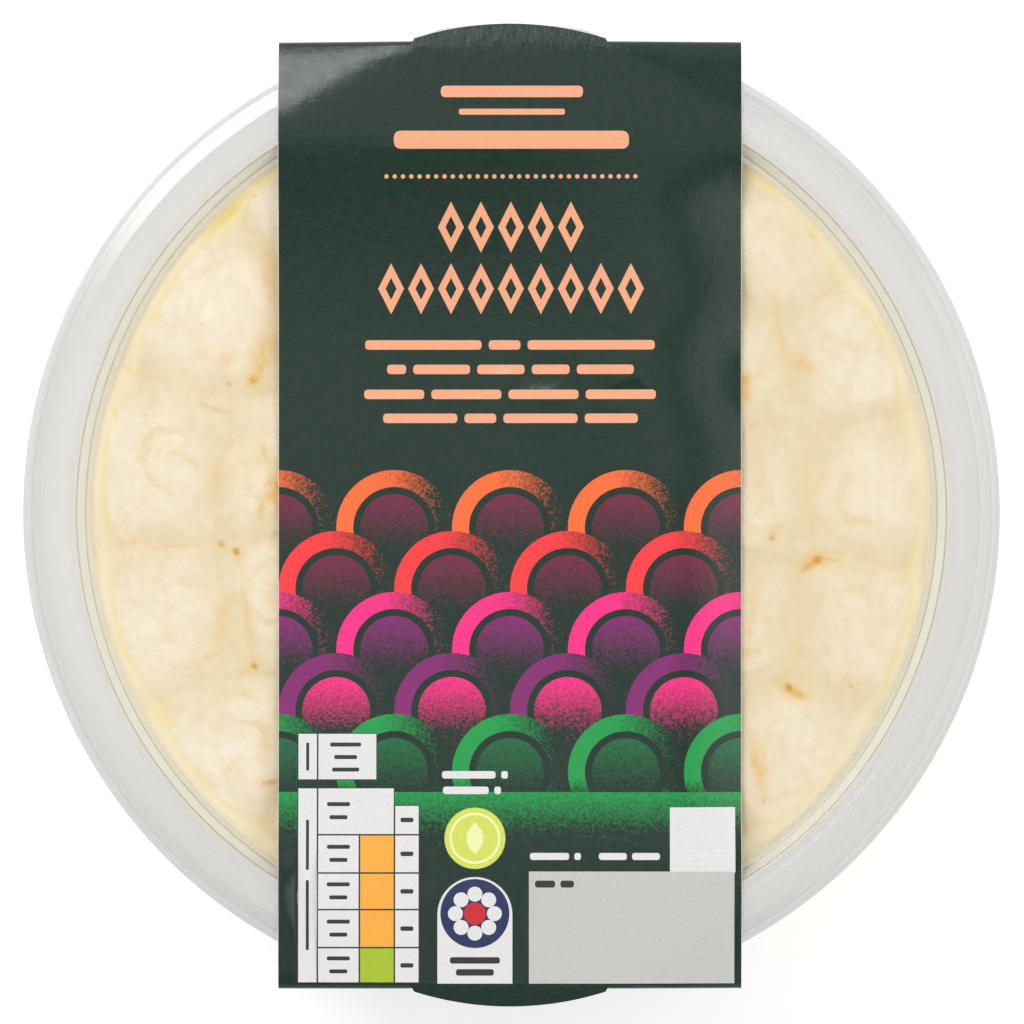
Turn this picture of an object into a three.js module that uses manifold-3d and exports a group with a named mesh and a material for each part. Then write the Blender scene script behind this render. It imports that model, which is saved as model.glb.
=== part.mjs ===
// A chilled party trifle: sponge, fruit jelly, custard and piped cream in a round clear tub,
// closed by a clear press-on lid and wrapped in a card sleeve.
// Millimetres, +Z up. The origin is under the tub's middle, on the surface the sleeve stands on.
import * as THREE from "three";
import { mergeVertices } from "three/addons/utils/BufferGeometryUtils.js";
import Module from "manifold-3d";

const wasm = await Module();
wasm.setup();

// ---- Driving dimensions ----
const RIM_RADIUS = 97.9; // outer edge of the lid
const PACK_HEIGHT = 65; // up to the sleeve's top face
const TUB_WALL = 1;
const LID_WALL = 0.6;
const CARD = 0.5;
const GAP = 0.3; // between pieces that touch
const FACETS = 44; // round every turned piece

// Lid: a flat window sunk inside a wide flat band, whose shoulder rolls over the tub's flange.
const BAND_TOP = PACK_HEIGHT - CARD - GAP;
const WINDOW_SINK = 3.6;
const WINDOW_RADIUS = 85.4; // foot of the lid's inner wall
const BAND_INNER = 87;
const BAND_OUTER = 93.8; // where the shoulder starts
const SHOULDER_DROP = 2.4;
const BEND = 0.5; // how far a sharp turn in the lid's sheet is cut back
const SKIRT_FOOT = 60.4;

// Tub: a raised middle in the floor, a leaning wall, a ledge, and a flange under the lid's band.
const FLOOR = 2 * CARD + GAP + TUB_WALL;
const KICK_HEIGHT = 1.6;
const KICK_RADIUS = 56;
const CORNER = 8; // inside radius between floor and wall
const LEAN = THREE.MathUtils.degToRad(11);
const LEDGE_RADIUS = 84.2;
const LEDGE_HEIGHT = 57.8;
const LEDGE_TOP = 58.8;
const COLLAR_FOOT = 86.6;
const COLLAR_TOP = 88.2;
const FLANGE_OUTER = 96.8;
const FLANGE_FOOT = 61;

// Filling: the mean height of each boundary, and how far the boundaries wander up and down.
const SPONGE_TOP = 14;
const JELLY_TOP = 28;
const CUSTARD_TOP = 43;
const WANDER = 1.2;
const WAVES = [
  { count: 3, share: 0.6 },
  { count: 7, share: 0.4 },
];
const PHASES = { sponge: 0.4, jelly: 2.1, custard: 4 };
const BOUNDARY_RINGS = 3;

// Cream: domes piped side by side and pressed flat by the lid's window.
const CREAM_TOP = BAND_TOP - WINDOW_SINK - LID_WALL - GAP;
const SEAM_DEPTH = 3; // how deep the seams between domes are
const FLAT_SHARE = 0.65; // the pressed part of a dome's radius
const SEAM_SHARE = 1.1; // where a seam is deepest, as a share of a dome's radius
const EDGE_DROP = 2.6; // how far the cream falls away at the wall
const EDGE_WIDTH = 5;
const CREAM_RINGS = 16;
const DOME_RADIUS = 15;
// Each dome's bearing in degrees anticlockwise from +X, and its distance from the middle.
const DOMES = [
  [3.6, 71.5], [25.4, 74], [44.4, 75], [70.3, 70], [96.2, 71], [122, 74], [145.8, 70],
  [172.6, 67.5], [198.3, 68], [219.5, 71.6], [244.4, 71], [269.3, 70], [294.3, 71],
  [319.2, 73.5], [341.8, 71],
  [3, 50], [34, 54], [66, 49], [98, 48], [131, 50], [173, 50], [200, 51], [233, 49],
  [268, 48], [303, 49], [336, 52],
  [20, 24], [92, 24], [164, 25], [236, 24], [308, 25],
  [0, 0],
];

// Sleeve: a card band round the middle of the pack, as wide as a hand, with a half-moon tab left
// in the plane of the top where the rim pokes through each end panel.
const SLEEVE_WIDTH = 92.6;
const SLEEVE_X = -0.3;
const SLEEVE_Y = -0.5;
const TOP_FOLD = 95; // half of the top panel's length
const BASE_FOLD = 76; // half of the base panel's length
const FOLD_RADIUS = 1.2;
const SEAM_EDGE = 20; // free edge of the outer base layer
const FLAP_EDGE = -8; // free edge of the glued flap inside
const TAB_CHORD = 40.2;
const TAB_RISE = 3.3;

// ---- Helpers ----
const at = (r, z) => new THREE.Vector2(r, z);

function arc(r, z, radiusR, radiusZ, from, to, steps) {
  return Array.from({ length: steps + 1 }, (_, i) => {
    const angle = THREE.MathUtils.lerp(from, to, i / steps);
    return at(r + radiusR * Math.cos(angle), z + radiusZ * Math.sin(angle));
  });
}

// Turns a profile of (radius, height) points about the Z axis.
function turned(profile) {
  return new THREE.LatheGeometry(profile, FACETS).rotateX(Math.PI / 2);
}

function toSolid(geometry) {
  const plain = geometry.clone();
  plain.deleteAttribute("normal");
  plain.deleteAttribute("uv");
  const merged = mergeVertices(plain, 1e-4);
  const mesh = new wasm.Mesh({
    numProp: 3,
    vertProperties: merged.attributes.position.array,
    triVerts: new Uint32Array(merged.index.array),
  });
  return new wasm.Manifold(mesh);
}

function toGeometry(solid) {
  const mesh = solid.getMesh();
  const geometry = new THREE.BufferGeometry();
  geometry.setAttribute("position", new THREE.BufferAttribute(mesh.vertProperties, 3));
  geometry.setIndex(new THREE.BufferAttribute(mesh.triVerts, 1));
  geometry.computeVertexNormals();
  return geometry;
}

// A disc's face over (x, y): its middle, then rings that share the turned pieces' facets.
function face(height, radius, rings) {
  const points = [[0, 0, height(0, 0)]];
  for (let ring = 1; ring <= rings; ring++) {
    for (let step = 0; step < FACETS; step++) {
      const angle = (step / FACETS) * 2 * Math.PI;
      const x = (radius * ring * Math.cos(angle)) / rings;
      const y = (radius * ring * Math.sin(angle)) / rings;
      points.push([x, y, height(x, y)]);
    }
  }
  const vertex = (ring, step) => (ring === 0 ? 0 : 1 + (ring - 1) * FACETS + (step % FACETS));
  const triangles = [];
  for (let step = 0; step < FACETS; step++) {
    triangles.push([0, vertex(1, step), vertex(1, step + 1)]);
    for (let ring = 1; ring < rings; ring++) {
      const [a, b] = [vertex(ring, step), vertex(ring, step + 1)];
      const [c, d] = [vertex(ring + 1, step + 1), vertex(ring + 1, step)];
      triangles.push([a, d, c], [a, c, b]);
    }
  }
  const edge = Array.from({ length: FACETS }, (_, step) => vertex(rings, step));
  return { points, triangles, edge };
}

// A disc between two surfaces given as heights over (x, y).
function slab(bottom, top, radius, topRings) {
  const lower = face(bottom, radius, BOUNDARY_RINGS);
  const upper = face(top, radius, topRings);
  const base = lower.points.length;
  const index = [
    ...lower.triangles.map(([a, b, c]) => [a, c, b]),
    ...upper.triangles.map((triangle) => triangle.map((vertex) => vertex + base)),
  ];
  lower.edge.forEach((a, step) => {
    const b = lower.edge[(step + 1) % FACETS];
    const c = upper.edge[(step + 1) % FACETS] + base;
    const d = upper.edge[step] + base;
    index.push([a, b, c], [a, c, d]);
  });
  const geometry = new THREE.BufferGeometry();
  const positions = [...lower.points, ...upper.points].flat();
  geometry.setAttribute("position", new THREE.Float32BufferAttribute(positions, 3));
  geometry.setIndex(index.flat());
  return geometry;
}

// ---- Tub ----
// One skin of the tub's sheet, from the axis out to the flange's edge, `out` mm outside the
// inner face.
function tubSkin(out) {
  const floor = FLOOR - out;
  const cornerZ = FLOOR + CORNER;
  const wallAtCorner = LEDGE_RADIUS - (LEDGE_HEIGHT - cornerZ) * Math.tan(LEAN);
  const cornerR = wallAtCorner - CORNER / Math.cos(LEAN);
  const edge = FLANGE_OUTER - out;
  return [
    at(0, floor + KICK_HEIGHT),
    at(KICK_RADIUS, floor + KICK_HEIGHT),
    at(KICK_RADIUS + KICK_HEIGHT, floor),
    ...arc(cornerR, cornerZ, CORNER + out, CORNER + out, -Math.PI / 2, -LEAN, 3),
    at(LEDGE_RADIUS + out, LEDGE_HEIGHT - out * Math.tan(LEAN)),
    at(COLLAR_FOOT + out, LEDGE_TOP - out),
    at(COLLAR_TOP + out, BAND_TOP - LID_WALL - GAP - out),
    ...arc(BAND_OUTER, FLANGE_FOOT + 1, edge - BAND_OUTER,
      BAND_TOP - LID_WALL - GAP - out - FLANGE_FOOT - 1, Math.PI / 2, 0, 3),
    at(edge, FLANGE_FOOT),
  ];
}

function makeTub() {
  return turned([...tubSkin(TUB_WALL), ...tubSkin(0).reverse()]);
}

// ---- Lid ----
// One skin of the lid's sheet, from the axis out to the skirt's foot, `under` mm below the
// upper face.
function lidSkin(under) {
  const window = BAND_TOP - WINDOW_SINK - under;
  const skirt = RIM_RADIUS - under;
  return [
    at(0, window),
    at(WINDOW_RADIUS - BEND + under, window),
    at(WINDOW_RADIUS + under, window + BEND),
    at(BAND_INNER - BEND / 2 + under, BAND_TOP - under - BEND),
    at(BAND_INNER + BEND / 2 + under, BAND_TOP - under),
    ...arc(BAND_OUTER, BAND_TOP - SHOULDER_DROP, skirt - BAND_OUTER, SHOULDER_DROP - under,
      Math.PI / 2, 0, 4),
    at(skirt, SKIRT_FOOT),
  ];
}

function makeLid() {
  return turned([...lidSkin(LID_WALL), ...lidSkin(0).reverse()]);
}

// ---- Filling ----
// The room inside the tub, a gap clear of its wall and floor, up to the ledge.
function makeRoom() {
  const ledge = at(LEDGE_RADIUS, LEDGE_HEIGHT);
  const wall = tubSkin(-GAP).filter((point) => point.y < ledge.y && point.x < ledge.x);
  const top = CREAM_TOP + 1;
  return turned([
    ...wall,
    at(LEDGE_RADIUS - GAP, LEDGE_HEIGHT),
    at(COLLAR_FOOT - GAP, LEDGE_TOP + GAP),
    at(COLLAR_FOOT - GAP, top),
    at(0, top),
  ]);
}

// The boundary between two layers: a few slow waves, flat in the middle.
function boundary(mean, phase) {
  return (x, y) => {
    const angle = Math.atan2(y, x);
    const reach = Math.min(Math.hypot(x, y) / LEDGE_RADIUS, 1);
    const waves = WAVES.map(({ count, share }) => share * Math.sin(count * (angle + phase)));
    return mean + WANDER * reach * waves.reduce((sum, wave) => sum + wave);
  };
}

// The cream's top face: the highest dome at (x, y), falling away at the wall.
function creamTop(x, y) {
  const offsets = DOMES.map(([bearing, distance]) => {
    const angle = THREE.MathUtils.degToRad(bearing);
    return Math.hypot(x - distance * Math.cos(angle), y - distance * Math.sin(angle));
  });
  const share = Math.min(...offsets) / DOME_RADIUS;
  const side = THREE.MathUtils.clamp((share - FLAT_SHARE) / (SEAM_SHARE - FLAT_SHARE), 0, 1);
  const seam = SEAM_DEPTH * (1 - Math.sqrt(1 - side * side));
  const inset = LEDGE_RADIUS - Math.hypot(x, y);
  const edge = THREE.MathUtils.clamp(1 - inset / EDGE_WIDTH, 0, 1);
  return CREAM_TOP - Math.max(seam, EDGE_DROP * edge * edge);
}

function makeLayers() {
  const room = toSolid(makeRoom());
  const reach = COLLAR_TOP;
  const raised = (surface) => (x, y) => surface(x, y) + GAP;
  const sponge = boundary(SPONGE_TOP, PHASES.sponge);
  const jelly = boundary(JELLY_TOP, PHASES.jelly);
  const custard = boundary(CUSTARD_TOP, PHASES.custard);
  const below = () => 0;
  const cut = (bottom, top, rings) => {
    return toGeometry(room.intersect(toSolid(slab(bottom, top, reach, rings))));
  };
  return {
    sponge: cut(below, sponge, BOUNDARY_RINGS),
    jelly: cut(raised(sponge), jelly, BOUNDARY_RINGS),
    custard: cut(raised(jelly), custard, BOUNDARY_RINGS),
    cream: cut(raised(custard), creamTop, CREAM_RINGS),
  };
}

// ---- Sleeve ----
// The card's end face over (y, z): half the panel's run at a height, `inset` mm inside its face.
function panelRun(height, inset) {
  const slope = (TOP_FOLD - BASE_FOLD) / PACK_HEIGHT;
  return BASE_FOLD + slope * height - inset * Math.hypot(1, slope);
}

// Draws a closed outline whose corners are rounded where a card folds.
function folded(path, corners) {
  const count = corners.length;
  corners.forEach(({ point, radius }, i) => {
    const before = corners[(i + count - 1) % count].point;
    const after = corners[(i + 1) % count].point;
    const start = point.clone().add(before.clone().sub(point).setLength(radius || 0));
    const end = point.clone().add(after.clone().sub(point).setLength(radius || 0));
    if (i === 0) path.moveTo(start.x, start.y);
    else path.lineTo(start.x, start.y);
    if (radius) path.quadraticCurveTo(point.x, point.y, end.x, end.y);
  });
  path.closePath();
  return path;
}

function makeSleeve() {
  const outer = FOLD_RADIUS;
  const inner = FOLD_RADIUS - CARD;
  const roof = PACK_HEIGHT - CARD;
  const shape = folded(new THREE.Shape(), [
    { point: at(-panelRun(0, 0), 0), radius: outer },
    { point: at(SEAM_EDGE, 0) },
    { point: at(SEAM_EDGE, CARD) },
    { point: at(panelRun(CARD, 0), CARD), radius: outer },
    { point: at(panelRun(PACK_HEIGHT, 0), PACK_HEIGHT), radius: outer },
    { point: at(-panelRun(PACK_HEIGHT, 0), PACK_HEIGHT), radius: outer },
  ]);
  shape.holes.push(folded(new THREE.Path(), [
    { point: at(-panelRun(CARD, CARD), CARD), radius: inner },
    { point: at(FLAP_EDGE, CARD) },
    { point: at(FLAP_EDGE, 2 * CARD) },
    { point: at(panelRun(2 * CARD, CARD), 2 * CARD), radius: inner },
    { point: at(panelRun(roof, CARD), roof), radius: inner },
    { point: at(-panelRun(roof, CARD), roof), radius: inner },
  ]));
  // Drawn in (y, z) and pushed along X: the outline's own X is turned to Y, and its Y to Z.
  const band = new THREE.ExtrudeGeometry(shape, {
    depth: SLEEVE_WIDTH,
    bevelEnabled: false,
    curveSegments: 3,
  });
  band.applyMatrix4(new THREE.Matrix4().makeBasis(
    new THREE.Vector3(0, 1, 0),
    new THREE.Vector3(0, 0, 1),
    new THREE.Vector3(1, 0, 0),
  ));
  band.translate(SLEEVE_X - SLEEVE_WIDTH / 2, SLEEVE_Y, 0);

  // The slots that the rim pokes through, cut to the rim's own outline.
  const clear = RIM_RADIUS + 2 * GAP;
  const slots = turned([
    at(BAND_INNER, SKIRT_FOOT - GAP),
    at(clear, SKIRT_FOOT - GAP),
    at(clear, roof),
    at(BAND_INNER, roof),
    at(BAND_INNER, SKIRT_FOOT - GAP),
  ]);
  let sleeve = toSolid(band).subtract(toSolid(slots));
  for (const side of [-1, 1]) sleeve = sleeve.add(toSolid(makeTab(side)));
  return toGeometry(sleeve);
}

// A half-moon of card in the top panel's plane, standing out past the fold.
function makeTab(side) {
  const half = TAB_CHORD / 2;
  const radius = (half * half + TAB_RISE * TAB_RISE) / (2 * TAB_RISE);
  const middle = TOP_FOLD + TAB_RISE - radius;
  const spread = Math.asin(half / radius);
  const root = TOP_FOLD - 2 * FOLD_RADIUS;
  const outline = new THREE.Shape();
  outline.moveTo(-half, root);
  outline.lineTo(half, root);
  outline.absarc(0, middle, radius, Math.PI / 2 - spread, Math.PI / 2 + spread, false);
  outline.closePath();
  const tab = new THREE.ExtrudeGeometry(outline, {
    depth: CARD,
    bevelEnabled: false,
    curveSegments: 16,
  });
  if (side < 0) tab.rotateZ(Math.PI);
  return tab.translate(SLEEVE_X, SLEEVE_Y, PACK_HEIGHT - CARD);
}

// ---- Assembly ----
function piece(name, geometry, color, roughness, opacity = 1) {
  const material = new THREE.MeshStandardMaterial({
    color,
    roughness,
    metalness: 0,
    opacity,
    transparent: opacity < 1,
  });
  const mesh = new THREE.Mesh(geometry, material);
  mesh.name = name;
  return mesh;
}

const layers = makeLayers();
const trifle = new THREE.Group();
trifle.add(
  piece("tub", makeTub(), 0xe4e3de, 0.2, 0.35),
  piece("lid", makeLid(), 0xe6e5e1, 0.2, 0.35),
  piece("sponge", layers.sponge, 0xc98a52, 0.8),
  piece("jelly", layers.jelly, 0xa3142a, 0.15),
  piece("custard", layers.custard, 0xf3cf73, 0.4),
  piece("cream", layers.cream, 0xf7e9cb, 0.5),
  piece("sleeve", makeSleeve(), 0x26382f, 0.45),
);

export default trifle;
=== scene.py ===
"""The looks of a chilled trifle: a clear tub and lid, a printed card sleeve, and the filling."""
import math

import bpy
import numpy as np
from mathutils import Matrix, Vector, noise
from mathutils.geometry import delaunay_2d_cdt


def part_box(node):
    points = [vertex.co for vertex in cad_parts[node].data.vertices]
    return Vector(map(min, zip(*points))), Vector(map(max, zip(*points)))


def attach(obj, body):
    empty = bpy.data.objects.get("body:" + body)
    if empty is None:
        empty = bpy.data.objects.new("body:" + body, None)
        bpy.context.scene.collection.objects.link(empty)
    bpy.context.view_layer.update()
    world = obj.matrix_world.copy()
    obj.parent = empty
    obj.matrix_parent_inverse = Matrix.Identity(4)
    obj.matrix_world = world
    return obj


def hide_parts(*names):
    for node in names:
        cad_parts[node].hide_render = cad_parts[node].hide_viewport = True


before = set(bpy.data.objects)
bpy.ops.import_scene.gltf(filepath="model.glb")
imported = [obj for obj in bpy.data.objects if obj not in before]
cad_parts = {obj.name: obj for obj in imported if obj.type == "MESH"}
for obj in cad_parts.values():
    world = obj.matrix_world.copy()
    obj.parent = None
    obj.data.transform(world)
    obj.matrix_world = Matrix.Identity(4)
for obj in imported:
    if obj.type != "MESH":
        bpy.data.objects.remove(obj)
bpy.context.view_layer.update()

MM = 0.001
TURN = 2 * math.pi
WHITE = (1, 1, 1, 1)

# ---- Sizes, in millimetres. What the frame gives is read from it. ----
LID_LOW, LID_HIGH = (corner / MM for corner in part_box("lid"))
TUB_LOW, TUB_HIGH = (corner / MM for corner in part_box("tub"))
SLEEVE_LOW, SLEEVE_HIGH = (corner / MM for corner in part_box("sleeve"))

# Lid: a window sunk inside a wide band, whose shoulder rolls down to a short skirt.
RIM_RADIUS = LID_HIGH.x
BAND_TOP = LID_HIGH.z
WINDOW_SINK = 3.6
WINDOW_RADIUS = 85.4
BAND_INNER = 87.0
BAND_OUTER = 93.8
SHOULDER_RADIUS = 97.0
SHOULDER_DROP = 0.9
RIM_DROP = 2.4 * SHOULDER_DROP
SKIRT_LIFT = 0.4  # how far short of the CAD part's skirt this one ends
BEAD = 0.3  # half the width of the fine ridge where the band meets the shoulder
LID_WALL = 0.3
WINDOW_TOP = BAND_TOP - WINDOW_SINK

# Tub: a floor with a raised middle, a leaning wall, a ledge and a collar, and a flange.
TUB_WALL = 0.7
KICK_HEIGHT = 1.6
KICK_RADIUS = 56.0
BASE_FILLET = 7.2
WALL_LEAN = math.radians(11)
LEDGE_RADIUS = 84.6
LEDGE_HEIGHT = 57.6
LEDGE_RISE = 0.3
COLLAR_FOOT = 87.6
COLLAR_TOP = 89.2
FLANGE_INSET = 1.0  # how far inside the CAD part's flange this one is
FLANGE_EDGE = TUB_HIGH.x - FLANGE_INSET
FLANGE_TOP = TUB_HIGH.z - FLANGE_INSET
FLANGE_DROP = 0.8
FLANGE_FOOT = 61.0
PLASTIC_STEPS = 256  # facets round the tub and the lid
PLASTIC_CREASE = 35  # degrees past which their edges are sharp

# Filling: how high each layer reaches, and how far its top wanders up and down.
SPONGE_TOP = 14.0
JELLY_TOP = 28.0
CUSTARD_TOP = 43.0
WANDER = 1.2
RAGGED = 0.7
INTO_WALL = 0.2  # the filling reaches this far into the tub's wall
CUSTARD_PHASE = 4  # of the waves where the custard meets the cream
FOOD_STEPS = 360
FACE_RINGS = 25  # across a layer's top and its bottom
WALL_RINGS = 16  # down its side

# Cream: piped domes under the lid's window.
CREAM_GAP = 0.05  # below the window
CREAM_TOP = WINDOW_TOP - LID_WALL - CREAM_GAP
CREAM_STEPS = 560
CREAM_PITCH = 0.6  # between rings on the cream's top
CREAM_WALL_RINGS = 15
COIL_PITCH = 5.0  # between turns of the coil that a dome is piped in
COIL_START = 2.4  # how far each dome's coil is turned from the last one's, in radians
COIL_WOBBLE = 1.6
COIL_INNER = (1.0, 4.0)  # from a dome's middle: where its coil starts, and where it is full
COIL_OUTER = (9.5, 13.5)  # where it starts to fade, and where it ends
SEAM_HALF, LINE_HALF = 3.2, 0.5  # half the width of a seam between domes, and of its line
# How deep the seams, their lines, the pits and the coils' grooves are.
SEAM_DEPTH, LINE_DEPTH, PIT_DEPTH, GROOVE_DEPTH = 0.5, 0.2, 0.3, 0.12
SWELLS = ((0.14, 7.0, 9), (0.08, 2.0, 10))  # height, length and seed
PRESSED = 0.35  # how much of the relief the lid's window presses flat
EDGE_START, EDGE_END = 82.6, 84.4  # the radii between which the cream falls away at the wall
EDGE_DROP = 0.25
FOOT_RADIUS = 82.2  # where the domes' feet end
FOOT_INDENT = 1.8  # how far the foot runs in at a seam
HALO_HALF = 0.6  # half the width of the yellower line along the foot
# Each dome's bearing in degrees anticlockwise from +X, and its distance from the middle.
DOMES = [
    (3.6, 71.5), (25.4, 74), (44.4, 75), (70.3, 70), (96.2, 71), (122, 74), (145.8, 70),
    (172.6, 67.5), (198.3, 68), (219.5, 71.6), (244.4, 71), (269.3, 70), (294.3, 71),
    (319.2, 73.5), (341.8, 71),
    (3, 50), (34, 54), (66, 49), (98, 48), (131, 50), (173, 50), (200, 51), (233, 49),
    (268, 48), (303, 49), (336, 52),
    (20, 24), (92, 24), (164, 25), (236, 24), (308, 25),
    (0, 0),
]
# Brownish places on the cream, most of them near the card's edges: x, y, half length, half width,
# bearing of the length, strength.
BROWN_PATCHES = [
    (-49.6, 32.0, 6.5, 2.3, 72, 0.8), (-48.3, 47.4, 5.0, 2.0, 98, 0.6),
    (-51.4, 27.2, 1.6, 1.0, 60, 0.5), (-57.4, 30.4, 2.2, 1.4, 60, 0.5),
    (-47.5, 4.6, 5.0, 1.6, 88, 1.1), (-49.8, 12.6, 2.6, 0.8, 110, 0.5),
    (-50.2, 0.4, 3.6, 0.9, 80, 0.6), (-57.8, -21.6, 5.0, 1.7, 80, 0.5),
    (-52.8, -21.5, 8.5, 0.8, 98, 0.5), (-48.4, -16.0, 4.5, 1.2, 95, 0.4),
    (-60.4, -28.8, 3.4, 0.9, 200, 0.4), (-54.6, -9.8, 1.8, 1.2, 130, 0.4),
    (-53.0, -31.8, 2.2, 0.8, 20, 0.4), (-49.0, -46.0, 5.0, 1.6, 80, 0.4),
    (-49.2, -65.3, 3.0, 2.2, 130, 0.6), (-48.6, -54.2, 2.6, 0.9, 8, 0.4),
    (-59.0, 7.2, 4.0, 2.2, 90, 0.3), (-56.3, -51.1, 1.6, 0.6, 60, 0.35),
    (46.8, 25.2, 3.2, 1.3, 90, 1.2), (58.4, 29.8, 2.6, 1.7, 130, 0.6),
    (53.8, 36.4, 7.5, 0.9, 101, 0.4), (48.0, -20.0, 7.0, 1.6, 85, 0.4),
    (49.2, -50.0, 6.0, 1.7, 100, 0.7), (50.0, 8.0, 8.0, 1.8, 95, 0.3),
    (61.0, -9.6, 3.0, 1.2, 25, 0.5), (56.6, -35.8, 3.2, 1.5, 150, 0.6),
    (53.4, -3.4, 2.4, 0.8, 55, 0.5),
]
# Small deep pits and thin cracks where domes meet, described the same way.
PITS = [
    (-55.2, -7.9, 0.75, 0.65, 140, 1.0), (-58.2, -6.3, 0.6, 0.5, 120, 0.7),
    (-68.0, -6.8, 9.5, 0.6, 2, 0.25), (-51.6, -30.9, 0.7, 0.55, 110, 0.9),
    (-60.0, 20.9, 5.0, 0.6, 163, 0.3), (-51.8, 26.3, 0.7, 0.6, 20, 0.6),
    (-56.6, 25.7, 0.7, 0.5, 20, 0.5), (-48.2, -54.1, 1.9, 0.45, 8, 0.5),
    (61.3, -9.6, 0.8, 0.6, 30, 1.0), (59.4, -10.9, 1.7, 0.65, 35, 0.55),
    (63.8, -9.5, 2.4, 0.55, 175, 0.35), (52.2, -5.1, 0.6, 0.55, 40, 0.8),
    (55.6, -35.2, 0.9, 0.6, 148, 1.0), (57.8, -36.6, 1.8, 0.55, 150, 0.5),
    (68.3, -34.7, 2.0, 0.45, 8, 0.4), (50.7, -57.9, 0.7, 0.5, 0, 0.4),
]
# The cream is browner a little way round each pit.
PIT_GLOWS = [
    (x, y, length + 1.0, width + 0.8, bearing, 0.5 * strength)
    for x, y, length, width, bearing, strength in PITS
]
# Custard that shows past the cream at the wall, described the same way.
CUSTARD_PATCHES = [
    (-57.2, 59.4, 6.6, 1.2, 46, 1.0), (-48.6, 67.4, 5.0, 0.9, 38, 0.5),
    (-76.4, 28.4, 2.2, 0.6, 152, 0.7), (-79.6, 20.2, 1.6, 0.7, 110, 0.6),
    (-80.9, 1.0, 9.0, 0.6, 90, 0.25), (49.0, 67.4, 6.0, 1.0, 142, 0.6),
    (60.2, 55.4, 1.1, 0.7, 130, 0.9), (-70.6, -40.6, 2.4, 1.2, 115, 0.35),
    (76.4, -30.4, 7.0, 0.7, 70, 0.35), (78.4, 22.0, 5.0, 0.6, 105, 0.35),
]

# Sleeve: card round the pack's middle, with a half-moon tab past each fold of its top.
CARD = 0.45
SLEEVE_HALF = (SLEEVE_HIGH.x - SLEEVE_LOW.x) / 2
SLEEVE_X = (SLEEVE_HIGH.x + SLEEVE_LOW.x) / 2
SLEEVE_Y = (SLEEVE_HIGH.y + SLEEVE_LOW.y) / 2
SLEEVE_TOP = SLEEVE_HIGH.z
TAB_RISE = 3.3
TAB_HALF = 20.1
TAB_STEPS = 40
TOP_FOLD = (SLEEVE_HIGH.y - SLEEVE_LOW.y) / 2 - TAB_RISE
BASE_FOLD = 76.0
FOLD_RADIUS = 1.3
PRESS = 0.8  # how much of the rim that would reach past a fold is pressed back
PRESS_RUN = 5.0  # how far inside a tab's end that starts
CUT_SLANT = 0.15  # how far the card's inner face reaches past its outer one at a cut edge
SEAM_EDGE = 20.0  # free edge of the base's outer layer
FLAP_EDGE = -8.0  # free edge of the flap glued inside it
FLAP_LIFT = 0.5
CARD_GRID = 3.0

# ---- The photograph's frame ----
PIXELS = 1024
PIXEL = 0.2  # millimetres to a pixel at the lid's band
CAMERA_HEIGHT = 1500.0
SENSOR = 36.0
RIM_CENTRE_PIXEL = (511.4, 512.4)


def rgb(red, green, blue):
    """A display colour, 0 to 255 a channel, as the linear colour that a shader takes."""
    shares = [channel / 255 for channel in (red, green, blue)]
    return tuple(
        s / 12.92 if s <= 0.04045 else ((s + 0.055) / 1.055) ** 2.4 for s in shares
    ) + (1.0,)


# ---- Shapes ----
def rounded(corners, steps=6):
    """A line through (r, z, fillet) corners, each curved over its fillet's length."""
    line = []
    for i, (r, z, fillet) in enumerate(corners):
        here = Vector((r, z))
        if fillet == 0:
            line.append(here)
            continue
        start = here + (Vector(corners[i - 1][:2]) - here).normalized() * fillet
        end = here + (Vector(corners[i + 1][:2]) - here).normalized() * fillet
        for step in range(steps + 1):
            t = step / steps
            line.append(start * (1 - t) ** 2 + here * 2 * t * (1 - t) + end * t * t)
    return line


def offset(line, distance):
    """The line moved to its right by a distance; a point on the axis stays on it."""
    moved = []
    for i, point in enumerate(line):
        before = point - line[i - 1] if i else line[1] - point
        after = line[i + 1] - point if i + 1 < len(line) else before
        a, b = before.normalized(), after.normalized()
        across = Vector((a.y + b.y, -a.x - b.x)).normalized()
        spot = point + across * distance / across.dot(Vector((a.y, -a.x)))
        moved.append(Vector((0.0 if point.x == 0 else spot.x, spot.y)))
    return moved


def new_object(name, vertices, faces, sharp=None):
    """A smooth-shaded mesh object from points in millimetres."""
    mesh = bpy.data.meshes.new(name)
    mesh.from_pydata([tuple(v) for v in np.asarray(vertices, float) * MM], [], faces)
    mesh.shade_smooth()
    if sharp is not None:
        mesh.set_sharp_from_angle(angle=math.radians(sharp))
    piece = bpy.data.objects.new(name, mesh)
    bpy.context.scene.collection.objects.link(piece)
    return piece


def ring_mesh(name, rings, first, last, sharp=None):
    """A closed surface through rings of points, with a pole at each end."""
    count, steps, _ = rings.shape
    vertices = np.concatenate([rings.reshape(-1, 3), [first, last]])
    first_pole, last_pole = count * steps, count * steps + 1
    end = (count - 1) * steps
    faces = []
    for step in range(steps):
        after = (step + 1) % steps
        faces.append((first_pole, after, step))
        faces.append((end + step, end + after, last_pole))
        for start in range(0, end, steps):
            a, b = start + step, start + after
            faces.append((a, b, b + steps, a + steps))
    if first[2] > last[2]:
        faces = [face[::-1] for face in faces]
    return new_object(name, vertices, faces, sharp)


def around(radius, z, steps):
    """A ring of points at the given radius and height, each one number or one per step."""
    angles = np.arange(steps) * TURN / steps
    x, y = radius * np.cos(angles), radius * np.sin(angles)
    return np.stack([x, y, np.broadcast_to(z, steps)], 1)


def turned(name, profile):
    """Turns a profile that starts and ends on the axis about Z."""
    rings = np.array([around(p.x, p.y, PLASTIC_STEPS) for p in profile[1:-1]])
    first, last = ((0, 0, p.y) for p in (profile[0], profile[-1]))
    return ring_mesh(name, rings, first, last, PLASTIC_CREASE)


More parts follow.
